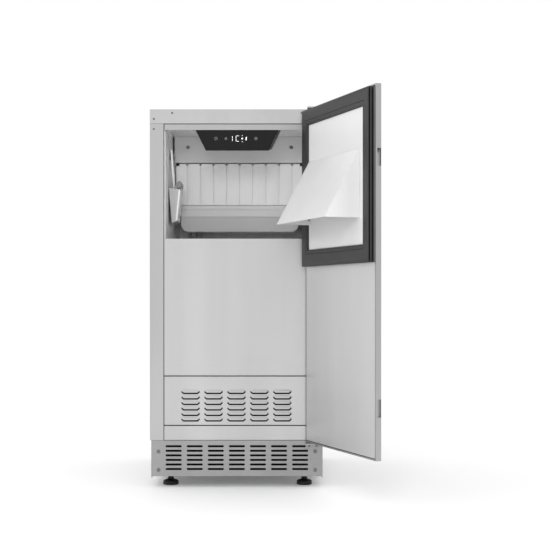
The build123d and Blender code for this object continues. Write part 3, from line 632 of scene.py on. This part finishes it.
def stroke(shape, x, z, length, across, upright):
    """One bar of a digit, with pointed ends."""
    half, thick = length / 2, across / 2
    line = [(-half, 0), (-half + thick, -thick), (half - thick, -thick), (half, 0),
            (half - thick, thick), (-half + thick, thick)]
    if upright:
        line = [(-b, a) for a, b in line]
    plate(shape, [(x + a, z + b) for a, b in line])


def loop(shape, x, z, outer, inner, start, end, steps=20):
    """Part of a flat ring, from one angle to another, in short plates."""
    for k in range(steps):
        a0 = math.radians(start + (end - start) * k / steps)
        a1 = math.radians(start + (end - start) * (k + 1) / steps)
        plate(shape, [(x + outer * math.cos(a0), z + outer * math.sin(a0)),
                      (x + outer * math.cos(a1), z + outer * math.sin(a1)),
                      (x + inner * math.cos(a1), z + inner * math.sin(a1)),
                      (x + inner * math.cos(a0), z + inner * math.sin(a0))])


def dot(shape, x, z, radius):
    """A round lit point."""
    turns = [math.tau * k / 16 for k in range(16)]
    plate(shape, [(x + radius * math.cos(a), z + radius * math.sin(a)) for a in turns])


lit = bmesh.new()
for z in (MARK_Z - 2.9, MARK_Z + 2.9):
    stroke(lit, -10.0, z, 5.2, 0.95, True)
for z in (MARK_Z - 3.1, MARK_Z + 3.1):
    stroke(lit, -2.0, z, 5.6, 0.95, True)
for z in (MARK_Z - 6.0, MARK_Z + 6.0):
    stroke(lit, 1.6, z, 5.4, 0.9, False)
dot(lit, 11.4, MARK_Z, 1.7)
dot(lit, 11.4, MARK_Z + 6.6, 0.8)
dot(lit, 11.4, MARK_Z - 6.6, 0.8)
plate(lit, [(18.8, MARK_Z - 3.6), (20.8, MARK_Z - 3.6), (21.6, MARK_Z + 3.6), (19.6, MARK_Z + 3.6)])
dim = bmesh.new()
loop(dim, -45.9, MARK_Z, 3.3, 2.5, 115, 425)
stroke(dim, -45.9, MARK_Z + 2.6, 3.2, 0.8, True)
loop(dim, -24.2, MARK_Z, 2.7, 1.9, 0, 360)
stroke(dim, -24.2, MARK_Z, 3.0, 0.7, False)
loop(dim, 41.4, MARK_Z, 3.3, 2.5, 0, 360)
stroke(dim, 41.4, MARK_Z, 3.6, 0.8, False)
for name, shape, material in (("display_marks", lit, lit_white), ("touch_symbols", dim, dim_white)):
    bmesh.ops.recalc_face_normals(shape, faces=shape.faces)
    marks = new_piece(name, shape)
    shade(marks, material)
    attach(marks, "cabinet")

board_green = finish("fr4_green_lacquer", "#1c5a34", "#164a2a", 12, (0.3, 0.45), 1.5, 0.02)
paint(board_green, "control_board")

# ---------------------------------------------------------------------------
# Ice scoop: clear polycarbonate gone slightly milky, hung edge-on from a peg.
# ---------------------------------------------------------------------------
milky_clear = finish("polycarbonate_milky_clear", "#dcdcdc", "#d2d2d2", 40, (0.30, 0.42), 3.0,
                     0.01, (1, 1, 1), 0.8, {"Transmission Weight": 0.3, "IOR": 1.3})
scoop = eased("ice_scoop", 0.5, milky_clear)
# The handle and the bowl's open edge take a near-white copy of the polycarbonate: painted
# highlight.
scoop_painted_highlight = finish("polycarbonate_painted_highlight", "#fbfbfb", "#f3f3f3", 40, (0.2, 0.3), 3.0, 0.01)
scoop.data.materials.append(scoop_painted_highlight)
HANDLE_LOW = 668 * MM
for face in scoop.data.polygons:
    if face.center.z > HANDLE_LOW:
        face.material_index = 1


def prism(outline, near, far):
    """A closed prism from an outline in X and Z, carried along Y between two depths."""
    shape = bmesh.new()
    near_ring = [shape.verts.new((x * MM, near * MM, z * MM)) for x, z in outline]
    far_ring = [shape.verts.new((x * MM, far * MM, z * MM)) for x, z in outline]
    for k in range(len(outline)):
        after = (k + 1) % len(outline)
        shape.faces.new((near_ring[k], far_ring[k], far_ring[after], near_ring[after]))
    shape.faces.new(near_ring)
    shape.faces.new(list(reversed(far_ring)))
    bmesh.ops.recalc_face_normals(shape, faces=shape.faces)
    return shape


# Near-white edge down the open side of the bowl, as painted highlight, and a grey band at its neck,
# as painted shade where the bowl's back curves over.
RIM_LINE = ((-133.4, 657.4), (-129.8, 657.2), (-136.3, 588.4), (-140.2, 588.0))
rim = new_piece("ice_scoop_rim", prism(RIM_LINE, -195.3, -115.0))
shade(rim, scoop_painted_highlight)
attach(rim, "scoop")
# Grey band over the bowl's neck: painted shade.
neck_shade_grey = finish("polycarbonate_painted_shade_neck", "#8b8b8b", "#7e7e7e", 20, (0.3, 0.45), 2.0,
                     0.01)
NECK_SHADE_LINE = ((-141.6, 657.5), (-141.2, 665.0), (-138.6, 671.5), (-134.0, 675.6),
               (-129.6, 676.4), (-127.8, 673.0), (-128.4, 664.5), (-130.6, 661.0),
               (-136.0, 661.5), (-139.6, 657.5))
neck_shade = new_piece("ice_scoop_collar", prism(NECK_SHADE_LINE, -194.0, -118.0))
shade(neck_shade, neck_shade_grey)
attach(neck_shade, "scoop")

# ---------------------------------------------------------------------------
# Ice-making parts behind the curtain: tinned copper grid, copper coil, tubes.
# ---------------------------------------------------------------------------
tinned = finish("copper_tin_plated", "#c9c7c2", "#b1aea8", 8, (0.25, 0.45), 1.2, 0.02,
                (1, 1, 1), 0.4, {"Metallic": 1.0})
copper = finish("copper_drawn_tube", "#c98a63", "#a8694a", 14, (0.22, 0.42), 0.8, 0.01,
                (1, 1, 1), 0.4, {"Metallic": 1.0})
grey_pvc = finish("pvc_grey", "#8f9496", "#7f8486", 20, (0.35, 0.5), 1.0, 0.02)
paint(tinned, "evaporator_plate")
paint(copper, "evaporator_coil", "filter_drier", "refrigerant_lines")
paint(grey_pvc, "bin_sensor_tube", "distribution_tube", "trough_drain_tube", "scoop_hook",
      "water_inlet_valve", "drain_outlet", "fan_blade")

# ---------------------------------------------------------------------------
# Machine space: enamelled compressor, finned condenser, fan motor, boxes.
# ---------------------------------------------------------------------------
black_enamel = finish("enamel_black_stoved", "#141414", "#0d0d0d", 25, (0.18, 0.34), 2.5, 0.03,
                      (1, 1, 1), 1.0, {"Coat Weight": 0.3})
motor_paint = finish("motor_grey_paint", "#5a5d5f", "#4b4e50", 10, (0.4, 0.55), 1.2, 0.02)
soft_rubber = finish("nitrile_rubber", "#1c1c1c", "#131313", 15, (0.6, 0.8), 0.6, 0.03)
# The condenser takes the black enamel too: a coat many condensers have, kept here as painted shade
# so that no bright fins show through the slots.
paint(black_enamel, "compressor", "condenser")
paint(motor_paint, "fan_motor")
paint(soft_rubber, "compressor_grommets", "pump_hose")
paint(black_abs, "water_pump", "electrical_box", "supply_cord_gland")

# ---------------------------------------------------------------------------
# Louvred access panel: one steel sheet pressed with rows of half-open hoods.
# Each hood is slit along its lower lip and bulges forwards, drawn in at its ends.
# ---------------------------------------------------------------------------
LOUVRE_COLUMNS = 5
LOUVRE_ROWS = 6
LOUVRE_ACROSS = 50.1
LOUVRE_UP = 12.0
LOUVRE_HALF = 19.45
LOUVRE_TALL = 6.4
LOUVRE_OUT = 2.6
LIP_FLAT = 15.0
LIP_SLOPE = 0.95
SLIT = 3.3
SHEET = 0.8
LOUVRE_MIDDLE_X = -1.0
LOUVRE_LOWEST_Z = 146.8
PANEL_FOLD = 3.4 * MM
BULGE_STEPS = (0, 0.2, 0.4, 0.6, 0.8, 1.0)

panel_low, panel_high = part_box("louvred_access_panel")
panel_face = panel_low.y + PANEL_FOLD
panel_shape = bmesh.new()
slab(panel_shape, (panel_low.x + PANEL_BACKED_OFF, panel_face, panel_low.z),
     (panel_high.x - PANEL_BACKED_OFF, panel_face + SHEET * MM, panel_high.z))
panel = new_piece("louvred_panel_sheet", panel_shape)


def lip(s):
    """Height of a hood's lower lip across its width: level, then drawn up at the ends."""
    return LIP_SLOPE * max(0.0, abs(s) * LOUVRE_HALF - LIP_FLAT)


def crease(s):
    """Height of the line where a hood leaves the sheet."""
    return LOUVRE_TALL - 0.6 * abs(s) ** 6


STEPS = [k / 24 for k in range(-24, 25)]
slit_line = [(s * (LOUVRE_HALF + 0.9), lip(s) - SLIT) for s in STEPS]
slit_line += [(s * (LOUVRE_HALF - 0.6), crease(s) - 1.2) for s in reversed(STEPS)]
SPREAD_X = LOUVRE_ACROSS * (LOUVRE_COLUMNS - 1)
SPREAD_Z = LOUVRE_UP * (LOUVRE_ROWS - 1)
louvre_centre = (LOUVRE_MIDDLE_X * MM, panel_face, (LOUVRE_LOWEST_Z + SPREAD_Z / 2) * MM)
all_cutters = repeated(new_piece("slit_cutters", bmesh.new()),
                       new_piece("slit", prism(slit_line, -2, 2)), LOUVRE_COLUMNS, LOUVRE_ROWS,
                       SPREAD_X, SPREAD_Z, louvre_centre, stainless_across_painted_reflection)
cutting = panel.modifiers.new("slits", "BOOLEAN")
cutting.object = all_cutters
cutting.operation = "DIFFERENCE"
cutting.solver = "EXACT"
as_mesh(panel)
bpy.data.objects.remove(all_cutters)

hood_shape = bmesh.new()
skins = []
for inset in (0.0, SHEET):
    grid = []
    for s in STEPS:
        column = []
        for t in BULGE_STEPS:
            z = crease(s) * (1 - t) + lip(s) * t - inset * (1 - t)
            out = LOUVRE_OUT * (1 - abs(s) ** 6) * math.sin(t * math.pi / 2) ** 0.85
            column.append(hood_shape.verts.new((
                s * (LOUVRE_HALF - inset) * MM, (inset - out) * MM, z * MM)))
        grid.append(column)
    skins.append(grid)
for grid in skins:
    for left, right in zip(grid, grid[1:]):
        for k in range(len(BULGE_STEPS) - 1):
            hood_shape.faces.new((left[k], right[k], right[k + 1], left[k + 1]))
for k in range(len(STEPS) - 1):
    for row in (0, -1):
        hood_shape.faces.new((skins[0][k][row], skins[0][k + 1][row], skins[1][k + 1][row],
                              skins[1][k][row]))
for column in (0, -1):
    for k in range(len(BULGE_STEPS) - 1):
        hood_shape.faces.new((skins[0][column][k], skins[0][column][k + 1],
                              skins[1][column][k + 1], skins[1][column][k]))
bmesh.ops.recalc_face_normals(hood_shape, faces=hood_shape.faces)
repeated(panel, new_piece("hood", hood_shape), LOUVRE_COLUMNS, LOUVRE_ROWS, SPREAD_X, SPREAD_Z,
         louvre_centre, stainless_across_painted_reflection)
settle(panel, "louvred_access_panel")

# ---------------------------------------------------------------------------
# Joints of the front: a black strip lies behind each gap between two sheets, as painted shade in
# the gap.
# ---------------------------------------------------------------------------
seam_shade_black = finish("seam_painted_shade_black", "#0c0c0c", "#080808", 12, (0.75, 0.9), 0.8, 0.05,
                    shader={"Specular IOR Level": 0.1})
seam_shade_shape = bmesh.new()
slab(seam_shade_shape, (-159.4 * MM, -279.4 * MM, 242.2 * MM), (159.4 * MM, -277.7 * MM, 244.0 * MM))
slab(seam_shade_shape, (-159.4 * MM, -278.6 * MM, 134.2 * MM), (159.4 * MM, -277.3 * MM, 136.0 * MM))
slab(seam_shade_shape, (-158 * MM, -279.2 * MM, 792.6 * MM), (158 * MM, -277 * MM, 793.7 * MM))
for side in (-1, 1):
    near, far = sorted((side * 158.9 * MM, side * 159.9 * MM))
    slab(seam_shade_shape, (near, -276.6 * MM, 104.0 * MM), (far, -272 * MM, 541 * MM))
seam_shade = new_piece("front_seam_tape", seam_shade_shape)
shade(seam_shade, seam_shade_black)
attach(seam_shade, "cabinet")

# Black foam, such as filters are made of, stands behind the louvres and the plinth's
# slots as painted shade, so that nothing of the machinery shows through them.
filter_foam_shade = finish("filter_foam_painted_shade", "#0d0d0d", "#050505", 3, (0.85, 0.98), 1.2, 0.4,
                     shader={"Specular IOR Level": 0.1})
filter_shade_shape = bmesh.new()
slab(filter_shade_shape, (-150 * MM, -275.6 * MM, 138 * MM), (150 * MM, -273.6 * MM, 240 * MM))
slab(filter_shade_shape, (-152 * MM, -276.6 * MM, 30 * MM), (152 * MM, -274.6 * MM, 96 * MM))
filter_shades = new_piece("grille_filter_foam", filter_shade_shape)
shade(filter_shades, filter_foam_shade)
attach(filter_shades, "cabinet")

# ---------------------------------------------------------------------------
# Insulation: polyurethane foam between skins, seen by nobody once it is set.
# ---------------------------------------------------------------------------
foam_yellow = finish("polyurethane_foam", "#d9cf9f", "#c9bd88", 10, (0.8, 0.95), 1.5, 0.3)
paint(foam_yellow, "insulation_foam", "door_core")

# ---------------------------------------------------------------------------
# Levelling feet: moulded black pads on threaded stems, screwed up into the base.
# ---------------------------------------------------------------------------
for end in ("front", "rear"):
    for side in ("left", "right"):
        eased(f"{end}_{side}_foot", 0.8, black_abs)

# ---------------------------------------------------------------------------
# Door: folded stainless pan over foam, with a sheet steel inner panel.
# ---------------------------------------------------------------------------
eased("door_outer_skin", 0.35, stainless_door_painted_shade)
satin_inner = finish("stainless_satin_inner", "#e2e2e2", "#d2d2d2", 130, (0.38, 0.52), 0.5, 0.004,
                     (1, 1, 0.012), 0.8, {"Metallic": 0.9}, BANDS)


FROM_OPEN = TO_OPEN.inverted()
INNER_HALF = 184.6 * MM
INNER_LOW = 104.9 * MM
INNER_HIGH = 817.9 * MM


def drawn_in(vert):
    """Draws the inner panel in from the pan's return, so that the joint shows."""
    closed = FROM_OPEN @ vert.co
    closed.x = max(min(closed.x, INNER_HALF), -INNER_HALF)
    closed.z = max(min(closed.z, INNER_HIGH), INNER_LOW)
    vert.co = TO_OPEN @ closed


eased("door_inner_panel", 0.2, satin_inner, adjust=drawn_in)
# Black strips behind the joints round the door's inner panel: painted shade in the gaps.
door_seam_shade_shape = bmesh.new()
for low, high in (((-185.9, -296.55, 103.8), (-184.7, -296.2, 819.2)),
                  ((184.7, -296.55, 103.8), (185.9, -296.2, 819.2)),
                  ((-185.9, -296.55, 103.6), (185.9, -296.2, 104.8)),
                  ((-185.9, -296.55, 818.0), (185.9, -296.2, 819.2))):
    slab(door_seam_shade_shape, [c * MM for c in low], [c * MM for c in high])
bmesh.ops.transform(door_seam_shade_shape, matrix=TO_OPEN, verts=door_seam_shade_shape.verts)
door_seam_shade = new_piece("door_seam_tape", door_seam_shade_shape)
shade(door_seam_shade, seam_shade_black)
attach(door_seam_shade, "door")

# ---------------------------------------------------------------------------
# Door seal: extruded PVC bellows mitred and welded at its corners, pushed into a
# grey carrier strip. Its side by the hinge is thinner so that it clears the jamb.
# ---------------------------------------------------------------------------
seal_black = finish("pvc_seal_black", "#333334", "#29292a", 30, (0.42, 0.58), 0.8, 0.02,
                    shader={"Specular IOR Level": 0.35})
carrier_grey = finish("pvc_carrier_grey", "#5f6060", "#535454", 30, (0.4, 0.55), 0.8, 0.02)
SEAL_OUT = ((-188.0, 179.4), (480.8, 817.0))
SEAL_IN = ((-157.0, 144.6), (515.6, 783.6))
SWING_R = 25.1
SEAL_SECTION = (
    ("in", 0, -296), ("in", 0, -283.8), ("in", 0.8, -282.2), ("in", 2.6, -281.4),
    ("in", 8.0, -281.3), ("in", 8.8, -282.1), ("in", 9.6, -281.3), ("out", 10.0, -281.1),
    ("out", 1.4, -281.2), ("out", 0.5, -281.8), ("out", 6.0, -282.4), ("out", 6.0, -284.4),
    ("out", 0.2, -284.9), ("out", 0, -285.4), ("out", 0, -287.4), ("out", 0.2, -287.9),
    ("out", 6.0, -288.4), ("out", 6.0, -290.6), ("out", 0.4, -291.2), ("out", 0.4, -296))
CARRIER_SECTION = (
    ("out", 6, -296), ("out", 6, -292.9), ("out", 0.9, -292.9), ("out", 0, -293.6),
    ("out", 0, -296))


def seal_ring(name, section, material):
    """A mitred ring with the given section, drawn on the closed door and turned open."""
    shape = bmesh.new()
    corners = []
    for x_end, z_end in ((0, 0), (1, 0), (1, 1), (0, 1)):
        ring = []
        for edge, offset, depth in section:
            spot = []
            for axis, end in ((0, x_end), (1, z_end)):
                outward = 1 if end else -1
                base = (SEAL_IN if edge == "in" else SEAL_OUT)[axis][end]
                reach = base + outward * offset * (1 if edge == "in" else -1)
                if axis == 0 and end == 1:
                    limit = math.sqrt(SWING_R ** 2 - (depth - hinge.y / MM) ** 2)
                    reach = min(reach, hinge.x / MM + limit)
                spot.append(reach)
            ring.append(shape.verts.new((spot[0] * MM, depth * MM, spot[1] * MM)))
        corners.append(ring)
    count = len(section)
    for k in range(4):
        here, there = corners[k], corners[(k + 1) % 4]
        for j in range(count):
            after = (j + 1) % count
            shape.faces.new((here[j], there[j], there[after], here[after]))
    bmesh.ops.recalc_face_normals(shape, faces=shape.faces)
    bmesh.ops.transform(shape, matrix=TO_OPEN, verts=shape.verts)
    piece = new_piece(name, shape)
    shade(piece, material, 35)
    return piece


seal = seal_ring("door_seal_bellows", SEAL_SECTION, seal_black)
settle(seal, "door_gasket")
carrier = seal_ring("door_seal_carrier", CARRIER_SECTION, carrier_grey)
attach(carrier, "door")

# ---------------------------------------------------------------------------
# Studio: pale seamless floor, soft white surroundings, one softbox on the left, two
# fills, and the camera straight ahead of the cabinet at the height of its middle.
# The fills light the white plastics only, so they are kept out of reflections.
# ---------------------------------------------------------------------------
floor_mesh = bpy.data.meshes.new("studio_floor")
FLOOR_HALF = 40
floor_corners = [(x * FLOOR_HALF, y * FLOOR_HALF, 0)
                 for x, y in ((-1, -1), (1, -1), (1, 1), (-1, 1))]
floor_mesh.from_pydata(floor_corners, [], [(0, 1, 2, 3)])
floor = bpy.data.objects.new("studio_floor", floor_mesh)
bpy.context.scene.collection.objects.link(floor)
floor_white = finish("floor_white", "#fbfbfb", "#f8f8f8", 900, (0.6, 0.7), 40, 0.0,
                     shader={"Emission Color": (1, 1, 1, 1), "Emission Strength": 0.1})
floor.data.materials.append(floor_white)

world = bpy.data.worlds.new("studio")
world.use_nodes = True
world.node_tree.nodes["Background"].inputs["Color"].default_value = (1, 1, 1, 1)
world.node_tree.nodes["Background"].inputs["Strength"].default_value = 1.0
bpy.context.scene.world = world


def softbox(name, place, aim, size, power, in_steel=True):
    """A square area light aimed at a spot; a fill is hidden from reflections and the camera."""
    lamp = bpy.data.lights.new(name, "AREA")
    lamp.size = size
    lamp.energy = power
    light = bpy.data.objects.new(name, lamp)
    light.location = place
    light.rotation_euler = (Vector(aim) - Vector(place)).to_track_quat("-Z", "Y").to_euler()
    light.visible_glossy = in_steel
    light.visible_camera = in_steel
    bpy.context.scene.collection.objects.link(light)


softbox("softbox_left", (-2.2, -2.2, 1.5), (0, 0, 0.45), 1.6, 8)
softbox("fill_high", (-0.1, -2.9, 1.25), (0, -0.1, 0.62), 0.5, 13, in_steel=False)
softbox("fill_low", (0.0, -3.1, 0.6), (0, 0.1, 0.56), 0.4, 5, in_steel=False)

camera_data = bpy.data.cameras.new("camera")
camera_data.lens = 86.23
camera_data.sensor_width = 36
camera_data.shift_y = 0.0447
camera = bpy.data.objects.new("camera", camera_data)
camera.location = (0.0886, -3.18, 0.404)
camera.rotation_euler = (math.pi / 2, 0, 0)
bpy.context.scene.collection.objects.link(camera)
bpy.context.scene.camera = camera
bpy.context.scene.view_settings.view_transform = "Standard"
